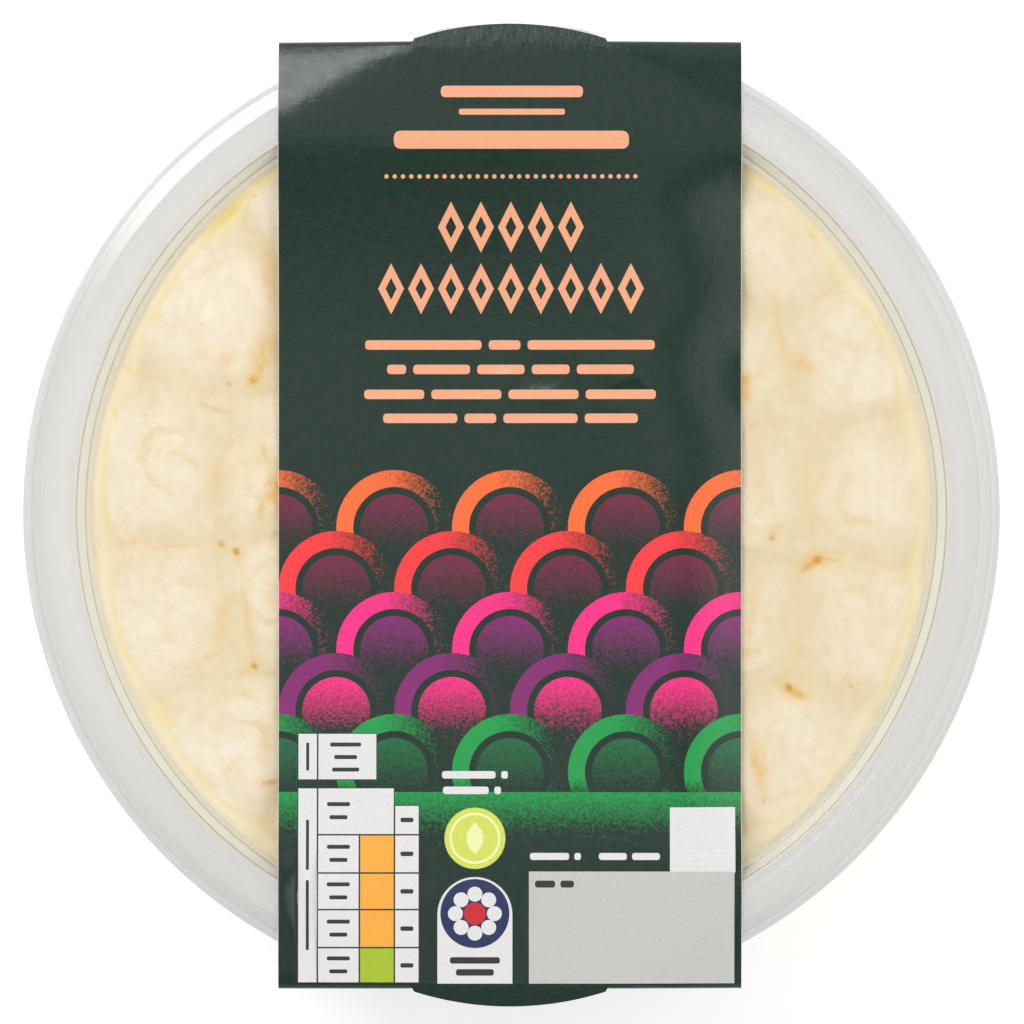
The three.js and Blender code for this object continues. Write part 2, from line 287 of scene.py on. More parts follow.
def wavering(x, y, z, scale, seed):
    """Smooth noise from -1 to 1 at each point; scale is the size of a wave in millimetres."""
    lift = Vector((seed * 17.3, seed * 5.1, seed * 11.7))
    flat = zip(np.ravel(x), np.ravel(y), np.ravel(np.broadcast_to(z, np.shape(x))))
    values = [noise.noise(Vector(p) / scale + lift) for p in flat]
    return np.array(values).reshape(np.shape(x))


def smooth(value, low, high):
    """0 below low, 1 above high, and an eased step between."""
    share = np.clip((value - low) / (high - low), 0, 1)
    return share * share * (3 - 2 * share)


def cos_sin(degrees):
    angle = math.radians(degrees)
    return math.cos(angle), math.sin(angle)


def spots(x, y, places):
    """The sum of soft long spots, each given by place, half sizes, bearing and strength."""
    total = np.zeros(np.shape(x))
    for spot_x, spot_y, length, width, bearing, strength in places:
        cos, sin = cos_sin(bearing)
        along = ((x - spot_x) * cos + (y - spot_y) * sin) / length
        across = ((y - spot_y) * cos - (x - spot_x) * sin) / width
        total += strength * np.exp(-(along ** 2) - across ** 2)
    return total


# ---- Shader building ----
class Nodes:
    """A node tree, made by short calls."""

    def __init__(self, tree):
        self.tree = tree
        self.tree.nodes.clear()

    def add(self, kind, inputs=None, **settings):
        """A node; an input is a value of its own or the socket that feeds it."""
        node = self.tree.nodes.new("ShaderNode" + kind)
        for name, value in settings.items():
            setattr(node, name, value)
        for name, value in (inputs or {}).items():
            if isinstance(value, bpy.types.NodeSocket):
                self.tree.links.new(value, node.inputs[name])
            else:
                node.inputs[name].default_value = value
        return node

    def math(self, operation, a, b=0.0):
        return self.add("Math", {0: a, 1: b}, operation=operation).outputs[0]

    def times(self, a, b):
        return self.math("MULTIPLY", a, b)

    def ramp(self, value, low, high, start=0.0, end=1.0):
        """From start, where the value is at low, straight to end, where it is at high."""
        span = {"From Min": low, "From Max": high, "To Min": start, "To Max": end}
        return self.add("MapRange", {"Value": value, **span}).outputs["Result"]


class Shader(Nodes):
    """A material's nodes. Sizes are in millimetres."""

    def __init__(self, name):
        self.material = bpy.data.materials.new(name)
        self.material.use_nodes = True
        super().__init__(self.material.node_tree)
        self.place = self.add("TexCoord").outputs["Object"]

    def mix(self, share, a, b):
        return self.add("Mix", {0: share, 6: a, 7: b}, data_type="RGBA").outputs[2]

    def paint(self, colour, coats):
        """The colour under coats, each with its share and its ink, the last on top."""
        for share, ink in coats:
            colour = self.mix(share, colour, rgb(*ink))
        return colour

    def noise(self, size, detail=3.0, roughness=0.5, stretch=None):
        """Noise from about 0.25 to 0.75, whose patches are size across, stretched if need be."""
        place = self.place
        if stretch:
            scale = [1 / length for length in stretch]
            place = self.add("Mapping", {"Vector": place, "Scale": scale}).outputs[0]
        inputs = {"Vector": place, "Scale": 1 / (size * MM)}
        inputs.update({"Detail": detail, "Roughness": roughness})
        return self.add("TexNoise", inputs).outputs["Fac"]

    def cells(self, size):
        """How far the middle of the nearest cell is, as a share of the cells' size."""
        inputs = {"Vector": self.place, "Scale": 1 / (size * MM)}
        return self.add("TexVoronoi", inputs).outputs["Distance"]

    def attribute(self, name):
        return self.add("Attribute", attribute_name=name).outputs["Fac"]

    def bump(self, height, distance, under=None):
        """Relief whose full height is distance, on top of the relief under it."""
        inputs = {"Height": height, "Distance": distance * MM}
        if under is not None:
            inputs["Normal"] = under
        return self.add("Bump", inputs).outputs["Normal"]

    def rings(self, stops):
        """Colour and alpha that change from the Z axis out, at (radius, colour, alpha) stops."""
        flat = self.add("VectorMath", {0: self.place, 1: (1, 1, 0)}, operation="MULTIPLY")
        radius = self.add("VectorMath", {0: flat.outputs[0]}, operation="LENGTH").outputs["Value"]
        node = self.add("ValToRGB", {"Fac": self.ramp(radius, RINGS_START * MM, RINGS_END * MM)})
        elements = node.color_ramp.elements
        places = [(stop[0] - RINGS_START) / (RINGS_END - RINGS_START) for stop in stops]
        elements[1].position = places[-1]
        spare = [elements.new(place) for place in places[1:-1]]
        for element, (_, colour, alpha) in zip([elements[0], *spare, elements[-1]], stops):
            element.color = (*rgb(*colour)[:3], alpha)
        return node.outputs["Color"], node.outputs["Alpha"]

    def finish(self, surface):
        self.add("OutputMaterial", {"Surface": surface})
        return self.material

    def solid(self, colour, roughness, inputs=None, **settings):
        """The finished material of a solid, with what else its surface takes."""
        inputs = {"Base Color": colour, "Roughness": roughness, **(inputs or {})}
        return self.finish(self.add("BsdfPrincipled", inputs, **settings).outputs[0])


# ---- Tub and lid ----
# Haze in the plastic, from the middle out: radius, colour, and the share of light that it stops. The
# two thin dark lines, at the window's edge and at the band's inner edge, are painted shade where the
# sheet bends.
LID_RINGS = [
    (80.0, (238, 231, 210), 0.0), (83.7, (238, 231, 210), 0.0),
    (84.2, (236, 230, 210), 0.36), (85.15, (232, 226, 205), 0.40),
    # painted shade: a thin dark line where the window bends up
    (85.25, (190, 181, 140), 0.48), (85.45, (190, 181, 140), 0.48),
    (85.55, (243, 240, 226), 0.42), (86.8, (240, 237, 223), 0.42),
    # painted shade: a thin dark line where the band starts
    (86.9, (176, 174, 146), 0.46), (87.1, (176, 174, 146), 0.46),
    (87.2, (221, 221, 216), 0.40), (89.0, (210, 211, 208), 0.34),
    (95.6, (206, 207, 205), 0.37), (96.2, (206, 207, 205), 0.48),
    (97.2, (200, 201, 199), 0.56), (100.0, (200, 201, 199), 0.56),
]
TUB_RINGS = [
    (80.0, (228, 228, 226), 0.03), (83.8, (222, 221, 217), 0.04),
    (84.6, (240, 236, 224), 0.40), (87.4, (230, 229, 224), 0.34),
    (89.4, (222, 221, 218), 0.24), (97.2, (208, 208, 205), 0.26),
]
RINGS_START, RINGS_END = 80.0, 100.0  # the radii at the ends of a ramp of rings
HAZE_GLOSS = 0.12  # the share of the haze that shines like the sheet's surface
EDGE_SHINE = 0.9  # how much light the sheet throws back where it is seen edge on
EDGE_POWER = 5.0  # how fast that falls away from there


def clear_plastic(name, rings, roughness, shine_ahead):
    """Thin clear plastic: light goes through it, it shines most where it is seen edge on, and
    haze whitens it. shine_ahead is how much light it throws back where it is seen face on."""
    shader = Shader(name)
    colour, share = shader.rings(rings)
    clear = shader.add("BsdfTransparent", {"Color": WHITE}).outputs[0]
    white = shader.add("BsdfDiffuse", {"Color": colour}).outputs[0]
    gloss = shader.add("BsdfGlossy", {"Color": WHITE, "Roughness": roughness}).outputs[0]
    milky = shader.add("MixShader", {0: HAZE_GLOSS, 1: white, 2: gloss}).outputs[0]
    body = shader.add("MixShader", {0: share, 1: clear, 2: milky}).outputs[0]
    facing = shader.add("LayerWeight", {"Blend": 0.5}).outputs["Facing"]
    shine = shader.times(shader.math("POWER", facing, EDGE_POWER), EDGE_SHINE)
    shine = shader.math("ADD", shine, shine_ahead)
    return shader.finish(shader.add("MixShader", {0: shine, 1: body, 2: gloss}).outputs[0])


def tub_skin():
    """The tub's outer face, from the axis out to the foot of the flange's lip."""
    base = TUB_LOW.z
    wall_foot = LEDGE_RADIUS - (LEDGE_HEIGHT - base) * math.tan(WALL_LEAN)
    return rounded([
        (0, base + KICK_HEIGHT, 0),
        (KICK_RADIUS, base + KICK_HEIGHT, 1.0),
        (KICK_RADIUS + KICK_HEIGHT, base, 1.0),
        (wall_foot, base, BASE_FILLET),
        (LEDGE_RADIUS, LEDGE_HEIGHT, 0.7),
        (COLLAR_FOOT, LEDGE_HEIGHT + LEDGE_RISE, 0.9),
        (COLLAR_TOP, FLANGE_TOP, 0.9),
        (BAND_OUTER, FLANGE_TOP, 0.5),
        (FLANGE_EDGE, FLANGE_TOP - FLANGE_DROP, 0.4),
        (FLANGE_EDGE, FLANGE_FOOT, 0),
    ])


def make_tub():
    outer = tub_skin()
    tub = turned("clear_tub", outer + offset(outer, -TUB_WALL)[::-1])
    plastic = clear_plastic("tub_plastic", TUB_RINGS, roughness=0.06, shine_ahead=0.035)
    tub.data.materials.append(plastic)
    return tub


def make_lid():
    upper = rounded([
        (0, WINDOW_TOP, 0),
        (WINDOW_RADIUS, WINDOW_TOP, 0.45),
        (BAND_INNER, BAND_TOP, 0.4),
        (BAND_OUTER - BEAD, BAND_TOP, 0.1),
        (BAND_OUTER, BAND_TOP + BEAD / 3, 0.2),
        (BAND_OUTER + BEAD, BAND_TOP - BEAD / 3, 0.1),
        (SHOULDER_RADIUS, BAND_TOP - SHOULDER_DROP, 0.5),
        (RIM_RADIUS, BAND_TOP - RIM_DROP, 0.5),
        (RIM_RADIUS, LID_LOW.z + SKIRT_LIFT, 0),
    ])
    lid = turned("clear_lid", offset(upper, LID_WALL) + upper[::-1])
    press_in(lid.data)
    plastic = clear_plastic("lid_plastic", LID_RINGS, roughness=0.2, shine_ahead=0.0)
    lid.data.materials.append(plastic)
    return lid


def press_in(mesh):
    """The sleeve's folds press the lid's rim in beside the tabs."""
    places = np.empty((len(mesh.vertices), 3), np.float32)
    mesh.vertices.foreach_get("co", places.ravel())
    x, y = places[:, 0] / MM, places[:, 1] / MM - SLEEVE_Y
    past = np.maximum(np.abs(y) - TOP_FOLD + CARD, 0)
    share = PRESS * smooth(np.abs(x), TAB_HALF - PRESS_RUN, TAB_HALF)
    places[:, 1] -= np.sign(y) * past * share * MM
    mesh.vertices.foreach_set("co", places.ravel())


# ---- Filling ----
def wall_profile():
    """Heights up the leaning wall, and the filling's radius at each of them."""
    skin = offset(tub_skin(), INTO_WALL - TUB_WALL)
    rising = [p for p in skin if KICK_RADIUS + 2 * KICK_HEIGHT < p.x < LEDGE_RADIUS]
    return [p.y for p in rising], [p.x for p in rising]


WALL_PROFILE = wall_profile()


def wall_radius(z):
    return np.interp(z, *WALL_PROFILE)


def boundary(mean, phase):
    """The face between two layers, as a height over x and y."""

    def height(x, y):
        angle = np.arctan2(y, x) + phase
        share = np.minimum(np.hypot(x, y) / LEDGE_RADIUS, 1)
        waves = 0.6 * np.sin(3 * angle) + 0.4 * np.sin(7 * angle)
        fine = wavering(x, y, mean, 6.0, phase) + 0.5 * wavering(x, y, mean, 2.5, phase + 1)
        return mean + share * (WANDER * waves + RAGGED * fine)

    return height


def across_rings(surface, edge, shares):
    """Rings that lie on a surface, at shares of the way out to its edge."""
    rings = []
    for share in shares:
        ring = around(edge * share, 0.0, len(edge))
        ring[:, 2] = surface(ring[:, 0], ring[:, 1])
        rings.append(ring)
    return rings


def wall_rings(high, low, count):
    """Rings down the tub's wall between two heights round it."""
    rings = []
    for share in np.linspace(0, 1, count):
        z = high + (low - high) * share
        rings.append(around(wall_radius(z), z, len(high)))
    return rings


def height_at_wall(surface, steps):
    """Where a surface meets the wall, found by stepping towards it."""
    z = np.full(steps, JELLY_TOP)
    for _ in range(4):
        ring = around(wall_radius(z), z, steps)
        z = surface(ring[:, 0], ring[:, 1])
    return z


def level(surface):
    return float(surface(np.zeros(1), np.zeros(1))[0])


def make_layer(name, top, bottom):
    """A layer of the filling: its top face, the side against the wall, and its bottom face."""
    high, low = (height_at_wall(surface, FOOD_STEPS) for surface in (top, bottom))
    shares = np.arange(1, FACE_RINGS) / FACE_RINGS
    rings = across_rings(top, wall_radius(high), shares)
    rings += wall_rings(high, low, WALL_RINGS)
    rings += across_rings(bottom, wall_radius(low), shares[::-1])
    return ring_mesh(name, np.array(rings), (0, 0, level(top)), (0, 0, level(bottom)))


def tub_floor(x, y):
    """The upper face of the tub's floor."""
    rise = 1 - smooth(np.hypot(x, y), KICK_RADIUS, KICK_RADIUS + KICK_HEIGHT)
    return TUB_LOW.z + TUB_WALL - INTO_WALL + KICK_HEIGHT * rise


def nearest_dome(x, y):
    """Each point's dome, its distance and bearing from the dome's middle, and from the seam."""
    bearing, distance = np.array(DOMES).T
    bearing = np.radians(bearing)
    middle_x, middle_y = distance * np.cos(bearing), distance * np.sin(bearing)
    away = np.hypot(x[:, None] - middle_x, y[:, None] - middle_y)
    order = np.argsort(away, 1)[:, :2]
    near, next_near = np.take_along_axis(away, order, 1).T
    dome = order[:, 0]
    angle = np.arctan2(y - middle_y[dome], x - middle_x[dome])
    return dome, near, angle, (next_near - near) / 2


def piped_coils(x, y, dome, near, angle):
    """The coil that each dome is piped in, from -1 in its groove to 1 on its ridge."""
    side = np.where(dome % 2 == 0, 1.0, -1.0)
    wobble = COIL_WOBBLE * wavering(x, y, 0, 5.0, 24)
    coil = near / COIL_PITCH * TURN - side * angle + dome * COIL_START + wobble
    on_dome = smooth(near, *COIL_INNER) * (1 - smooth(near, *COIL_OUTER))
    patchy = smooth(wavering(x, y, 0, 13.0, 7), -0.4, 0.2)
    return np.cos(coil) * on_dome * patchy


def bell(value, half):
    """1 where a value is 0, and soon 0 where it is past half."""
    return np.exp(-((value / half) ** 2))


def cream_relief(x, y):
    """The cream's depth below the lid's window, and what its colour depends on."""

    def waves(length, seed):
        return wavering(x, y, 0, length, seed)

    bent_x = x + 2.2 * waves(14.0, 3) + 0.8 * waves(4.0, 4)
    bent_y = y + 2.2 * waves(14.0, 5) + 0.8 * waves(4.0, 6)
    dome, near, angle, seam = nearest_dome(bent_x, bent_y)
    ridge = piped_coils(x, y, dome, near, angle)
    radius = np.hypot(x, y)
    seam_band = bell(seam, SEAM_HALF)
    seam_line = bell(seam, LINE_HALF) * smooth(waves(12.0, 23), -0.3, 0.3)
    pits = spots(x, y, PITS)
    edge = smooth(radius, EDGE_START + waves(9.0, 8), EDGE_END)
    depth = SEAM_DEPTH * seam_band + LINE_DEPTH * seam_line + PIT_DEPTH * np.minimum(pits, 1)
    depth += GROOVE_DEPTH * (1 - ridge)
    depth += sum(height * (1 + waves(length, seed)) for height, length, seed in SWELLS)
    depth += EDGE_DROP * edge * edge

    clouds, broken = waves(6.5, 19), waves(2.2, 13)
    streaks = wavering(x / 1.2, y / 4.0, 0, 1.0, 12)
    foot = FOOT_RADIUS - FOOT_INDENT * bell(seam, 5.0) + 0.7 * waves(12.0, 17) + 0.25 * broken
    # Paler over the domes and darker in their seams: partly the cream's own tan, partly painted
    # shade in the seams. The term in x is painted shade, darker towards the cream's right side.
    pale = 0.6 * smooth(seam, 0.5, 7.0) - 0.2 * smooth(x, -40, 60)
    pale += 0.4 * clouds + 0.35 * broken + 0.2 * streaks
    zone = smooth(waves(17.0, 15) + 0.8 * (1 - smooth(radius, 60.0, 78.0)), -0.2, 0.6)
    # Tan in the coils' grooves is painted shade; the clouds, streaks and broken patches are the
    # cream's own mottling.
    groove_shade_and_swirl = 0.6 * np.maximum(-ridge, 0) + 0.6 * clouds + 0.25 * streaks + 0.3 * broken
    # Brownish tone, from the patches above, the seam lines and round the pits.
    brown_marks = spots(x, y, BROWN_PATCHES) * (1.2 + 0.7 * broken + 0.5 * streaks)
    brown_marks += 0.3 * seam_line + spots(x, y, PIT_GLOWS)
    return np.maximum(depth - PRESSED, 0), {
        "pit": pits,
        "pale": pale,
        "groove_shade_and_swirl": smooth(groove_shade_and_swirl, -0.1, 0.95) * zone * (1 - 0.5 * seam_band),
        "brown": np.maximum(brown_marks, 0),
        "custard": spots(x, y, CUSTARD_PATCHES) * (1 + 0.4 * broken),
        "halo": bell(radius - foot, HALO_HALF) * smooth(waves(11.0, 18), -0.6, 0.3),
        "edge": smooth(radius, foot - 0.8, foot + 0.6),
    }


def make_cream():
    edge = float(wall_radius(LEDGE_HEIGHT))
    radii = np.arange(CREAM_PITCH, edge, CREAM_PITCH)
    rings = np.array([around(radius, CREAM_TOP, CREAM_STEPS) for radius in radii])
    depth, tones = cream_relief(rings[:, :, 0].ravel(), rings[:, :, 1].ravel())
    rings[:, :, 2] -= depth.reshape(rings.shape[:2])
    bottom = boundary(CUSTARD_TOP, CUSTARD_PHASE)
    low = height_at_wall(bottom, CREAM_STEPS)
    down = wall_rings(rings[-1, :, 2], low, CREAM_WALL_RINGS)
    down += across_rings(bottom, wall_radius(low), (0.6, 0.2))
    rings = np.concatenate([rings, down])
    cream = ring_mesh("piped_cream", rings, (0, 0, rings[0, 0, 2]), (0, 0, level(bottom)))
    rest = len(down) * CREAM_STEPS + 2
    for name, values in tones.items():
        tone = np.concatenate([values, np.full(rest, float(name == "edge"))])
        attribute = cream.data.attributes.new(name, "FLOAT", "POINT")
        attribute.data.foreach_set("value", tone.astype(np.float32))
    cream.data.materials.append(cream_material())
    return cream


def cream_material():
    """Pale satin cream, whose tones follow its relief, with fine mottling all over; its tones paint
    shade into the seams between domes, the coils' grooves and its right side.
    """
    shader = Shader("whipped_cream")
    tone = shader.attribute
    blotches = shader.ramp(shader.noise(3.4, 3.0, 0.6), 0.5, 0.68)
    mottle = shader.ramp(shader.noise(1.1, 4.0, 0.65), 0.36, 0.64)
    grainy = shader.math("ADD", shader.times(mottle, 0.35), 0.6)
    flecks = shader.ramp(shader.cells(3.0), 0.2, 0.04)
    chosen = shader.ramp(shader.noise(6.0), 0.54, 0.64)
    # The pale tone's darker end is partly painted shade, in the seams and on the cream's right side.
    pale = shader.ramp(tone("pale"), -0.3, 0.9)
    colour = shader.paint(shader.mix(pale, rgb(229, 212, 176), rgb(245, 234, 214)), [
        (shader.times(blotches, 0.4), (232, 211, 171)),
        (shader.times(mottle, 0.15), (225, 202, 156)),
        # painted shade in the coils' grooves, with the cream's own tan streaks
        (shader.times(tone("groove_shade_and_swirl"), grainy), (227, 206, 156)),
        (shader.ramp(shader.times(tone("brown"), grainy), 0.0, 1.1), (227, 184, 108)),
        (shader.times(tone("edge"), 0.7), (241, 229, 194)),
        (shader.times(tone("halo"), 0.5), (234, 214, 140)),
        (shader.ramp(tone("custard"), 0.05, 1.0), (236, 210, 124)),
        (shader.ramp(tone("pit"), 0.1, 0.8), (204, 152, 40)),
        (shader.times(flecks, chosen), (232, 204, 146)),
    ])
    inputs = {
        "Specular IOR Level": 0.3,
        "Subsurface Weight": 0.5,
        "Subsurface Radius": (1.0, 0.8, 0.6),
        "Subsurface Scale": 3.0 * MM,
        "Normal": shader.bump(shader.noise(2.2, 4.0), 0.12),
    }
    return shader.solid(colour, 0.45, inputs, subsurface_method="BURLEY")


def custard_material():
    shader = Shader("vanilla_custard")
    clouds = shader.ramp(shader.noise(9.0, 4.0), 0.3, 0.7)
    fine = shader.ramp(shader.noise(1.8, 4.0), 0.42, 0.72)
    colour = shader.paint(rgb(244, 212, 132), [(clouds, (248, 219, 144)), (fine, (238, 203, 120))])
    return shader.solid(colour, 0.35, {"Normal": shader.bump(shader.noise(1.5, 4.0), 0.1)})


def sponge_material():
    """An open crumb, soaked from above, with small pores that are dented in and painted darker as
    shade.
    """
    shader = Shader("soaked_sponge")
    clouds = shader.ramp(shader.noise(9.0, 4.0), 0.35, 0.65)
    height = shader.times(shader.add("SeparateXYZ", {"Vector": shader.place}).outputs["Z"], 1 / MM)
    ragged = shader.times(shader.noise(8.0, 3.0), 10.0)
    soaked = shader.ramp(shader.math("ADD", height, ragged), SPONGE_TOP - 1.0, SPONGE_TOP + 5.0)
    # The pores are dented in, and darkened with painted shade.
    pores = shader.ramp(shader.cells(1.8), 0.36, 0.16)
    colour = shader.paint(rgb(206, 150, 84), [
        (clouds, (226, 178, 112)),
        (shader.times(soaked, 0.75), (150, 44, 40)),
        (shader.times(pores, 0.55), (128, 72, 40)),
    ])
    return shader.solid(colour, 0.5, {"Normal": shader.bump(pores, -0.3)})


def jelly_material():
    """Clear red jelly, with paler pieces of soft fruit against the tub's wall and their seeds; the
    fruit is painted darker between its lobes as shade.
    """
    shader = Shader("fruit_jelly")
    clouds = shader.ramp(shader.noise(12.0, 4.0), 0.3, 0.7)
    chosen = shader.ramp(shader.noise(14.0, 2.0), 0.46, 0.5)
    fruit = shader.times(shader.ramp(shader.cells(10.0), 0.5, 0.42), chosen)
    lobes = shader.cells(3.2)
    # Painted shade: the fruit's flesh is darker towards the dented-in edges of its lobes.
    flesh = shader.mix(shader.ramp(lobes, 0.25, 0.65), rgb(212, 50, 54), rgb(150, 16, 32))
    colour = shader.mix(fruit, shader.mix(clouds, rgb(112, 8, 18), rgb(158, 18, 30)), flesh)
    seeds = shader.times(shader.ramp(shader.cells(2.6), 0.22, 0.12), fruit)
    colour = shader.mix(shader.times(seeds, 0.7), colour, rgb(230, 160, 90))
    return shader.solid(colour, 0.12, {"Normal": shader.bump(shader.times(lobes, fruit), -0.5)})


def make_layers():
    """The sponge, the jelly and the custard, each on top of the one before."""
    layers = []
    bottom = tub_floor
    for name, mean, phase, material in (
        ("soaked_sponge", SPONGE_TOP, 0.4, sponge_material),
        ("fruit_jelly", JELLY_TOP, 2.1, jelly_material),
        ("vanilla_custard", CUSTARD_TOP, CUSTARD_PHASE, custard_material),
    ):
        top = boundary(mean, phase)
        layers.append(make_layer(name, top, bottom))
        layers[-1].data.materials.append(material())
        bottom = top
    return layers


# ---- Sleeve: the print. Places are from the top panel's middle and from its head fold. ----
INKS = {
    "green_black": (8, 41, 29),
    "peach": (243, 170, 130),
    "orange": (252, 110, 52),
    "red": (250, 56, 62),
    "plum": (118, 28, 64),
    "magenta": (250, 40, 134),
    "purple": (132, 30, 110),
    "green": (14, 156, 72),
    "deep_green": (12, 104, 58),
    "lime": (212, 222, 92),
    "leaf": (238, 243, 178),
    "amber": (247, 174, 62),
    "table_green": (168, 193, 42),
    "white": (228, 227, 225),
    "grey": (198, 199, 193),
    "dark": (44, 48, 46),
    "navy": (30, 44, 92),
    "scarlet": (206, 32, 44),
}
BARE = -1  # a face with no field of ink, which shows the green-black


def bar(left, right, top, bottom, corner=0.0):
    """A rectangle, with round corners if a corner's radius is given."""
    if corner == 0:
        return [(left, top), (right, top), (right, bottom), (left, bottom)]
    outline = []
    for x, y, start in (
        (right - corner, top + corner, -90), (right - corner, bottom - corner, 0),
        (left + corner, bottom - corner, 90), (left + corner, top + corner, 180),
    ):
        for degrees in range(start, start + 91, 30):
            cos, sin = cos_sin(degrees)
            outline.append((x + corner * cos, y + corner * sin))
    return outline


def disc(x, y, radius, steps=48):
    angles = [TURN * step / steps for step in range(steps)]
    return [(x + radius * math.cos(a), y + radius * math.sin(a)) for a in angles]


def diamond(x, y, width, height):
    return [(x - width / 2, y), (x, y - height / 2), (x + width / 2, y), (x, y + height / 2)]


class Print:
    """The fields of ink on the card, later ones over earlier ones."""

    def __init__(self):
        self.fields = []

    def add(self, outline, ink, fade=None):
        self.fields.append((outline, ink, fade))

    def pill(self, left, right, top, bottom, ink):
        """A bar with round corners, where a word stood."""
        self.add(bar(left, right, top, bottom, min(right - left, bottom - top) * 0.35), ink)

    def words(self, left, right, top, bottom, lengths, ink):
        """Bars that stand where a line of words was, as long as the words' shares."""
        gap = (bottom - top) * 0.75
        room = right - left - gap * (len(lengths) - 1)
        for length in lengths:
            width = room * length / sum(lengths)
            self.pill(left, left + width, top, bottom, ink)
            left += width + gap


def header(panel):
    """Where the pack's heading and title stood: bars, a dotted line and rows of diamonds."""
    panel.pill(-13.8, 14.6, 9.2, 11.5, "peach")
    panel.pill(-10.2, 11.0, 13.8, 15.0, "peach")
    panel.pill(-23.2, 23.8, 18.2, 21.8, "peach")
    for step in range(31):
        panel.add(disc(-24.7 + 1.66 * step, 27.3, 0.45, steps=12), "peach")
    for middle, count in ((37.4, 5), (49.7, 9)):
        for step in range(count):
            x = 0.2 + (step - (count - 1) / 2) * 6.0
            panel.add(diamond(x, middle, 5.2, 10.2), "peach")
            panel.add(diamond(x, middle, 2.2, 4.4), "green_black")
    for left, right, top, lengths in (
        (-29.0, 29.0, 60.0, (11, 3, 12)), (-24.6, 24.8, 64.9, (2, 6, 5, 4, 6)),
        (-29.2, 29.2, 69.9, (6, 7, 7, 7)), (-25.4, 25.6, 74.7, (7, 3, 7, 5)),
    ):
        panel.words(left, right, top, top + 1.9, lengths, "peach")


SCALE_RADIUS, GAP_RADIUS, HEART_RADIUS = 11.6, 8.2, 6.8  # of a scale, its gap and its heart
ARTWORK_TOP = 86.0
ARTWORK_FOOT = 158.7
SCALE_ROWS = (
    ("orange", "plum"), ("red", "plum"), ("magenta", "purple"), ("purple", "magenta"),
    ("green", "deep_green"),
)


def scales(panel):
    """Rows of overlapping round scales, whose inks fade to the card's in a fine grain."""
    pitch = (ARTWORK_FOOT - ARTWORK_TOP - SCALE_RADIUS) / len(SCALE_ROWS)
    for row, (outer, inner) in enumerate(SCALE_ROWS):
        middle = ARTWORK_TOP + SCALE_RADIUS + row * pitch
        for column in range(-2, 4):
            x = (column - 0.5 * (row % 2)) * 2 * SCALE_RADIUS

            def aside(u, d, x=x, middle=middle):
                return max((u - x + 4) / 14, (d - middle - 1) / 4)

            def down(_, d, middle=middle):
                return (d - middle + 8) / 13

            panel.add(disc(x, middle, SCALE_RADIUS), outer, aside)
            panel.add(disc(x, middle, GAP_RADIUS), "green_black")
            panel.add(disc(x, middle, HEART_RADIUS), inner, down)
    foot = ARTWORK_TOP + SCALE_RADIUS + (len(SCALE_ROWS) - 1) * pitch
    ground = bar(-SLEEVE_HALF - 1, SLEEVE_HALF + 1, foot + 4, ARTWORK_FOOT + 3)
    panel.add(ground, "green", lambda _, d: (d - foot - 2) / (ARTWORK_FOOT - foot - 1))


def cell(panel, left, right, top, bottom, ink="white"):
    """A box of the table, with a thin dark line round it."""
    line = 0.16
    panel.add(bar(left, right, top, bottom), "dark")
    panel.add(bar(left + line, right - line, top + line, bottom - line), ink)


def table(panel):
    """The plain cells of a table of figures, with bars where its words stood."""
    left, first, second, third, right = -42.5, -38.5, -30.1, -23.1, -18.1
    rows = (149.6, 159.0, 166.6, 173.9, 181.5, 188.6)
    inks = ("white", "amber", "amber", "amber", "table_green")
    cell(panel, left, first, 138.7, 148.1)
    cell(panel, first, -26.6, 138.7, 148.1)
    cell(panel, left, first, rows[0], rows[-1])
    for top, bottom, ink in zip(rows, rows[1:], inks):
        cell(panel, first, third if ink == "white" else second, top, bottom)
        if ink != "white":
            cell(panel, second, third, top, bottom, ink)
        share_top = max(top, 153.1)
        cell(panel, third, right, share_top, bottom)
        middle = (share_top + bottom) / 2
        panel.pill(third + 1.2, right - 1.2, middle - 0.45, middle + 0.45, "dark")
        middle = (top + bottom) / 2
        panel.pill(first + 1.9, second - 1.9, middle - 1.8, middle - 1.0, "dark")
        panel.pill(first + 2.4, second - 2.4, middle + 0.8, middle + 1.6, "dark")
    for top, spare in ((140.6, 0.4), (143.1, 1.2), (145.6, 0.8)):
        panel.pill(-36.4 + spare, -29.4 - spare, top, top + 0.8, "dark")
    for top, bottom in ((140.6, 146.2), (156.0, 166.0), (168.0, 182.0)):
        panel.pill(left + 1.7, first - 1.7, top, bottom, "dark")


def leaf(x, y, length, width):
    """A pointed leaf standing upright."""
    outline = []
    for step in range(24):
        share = step / 12 - 1
        bulge = width / 2 * (1 - abs(abs(share) * 2 - 1) ** 2)
        outline.append((x + math.copysign(bulge, share), y + length * (abs(share) - 0.5)))
    return outline


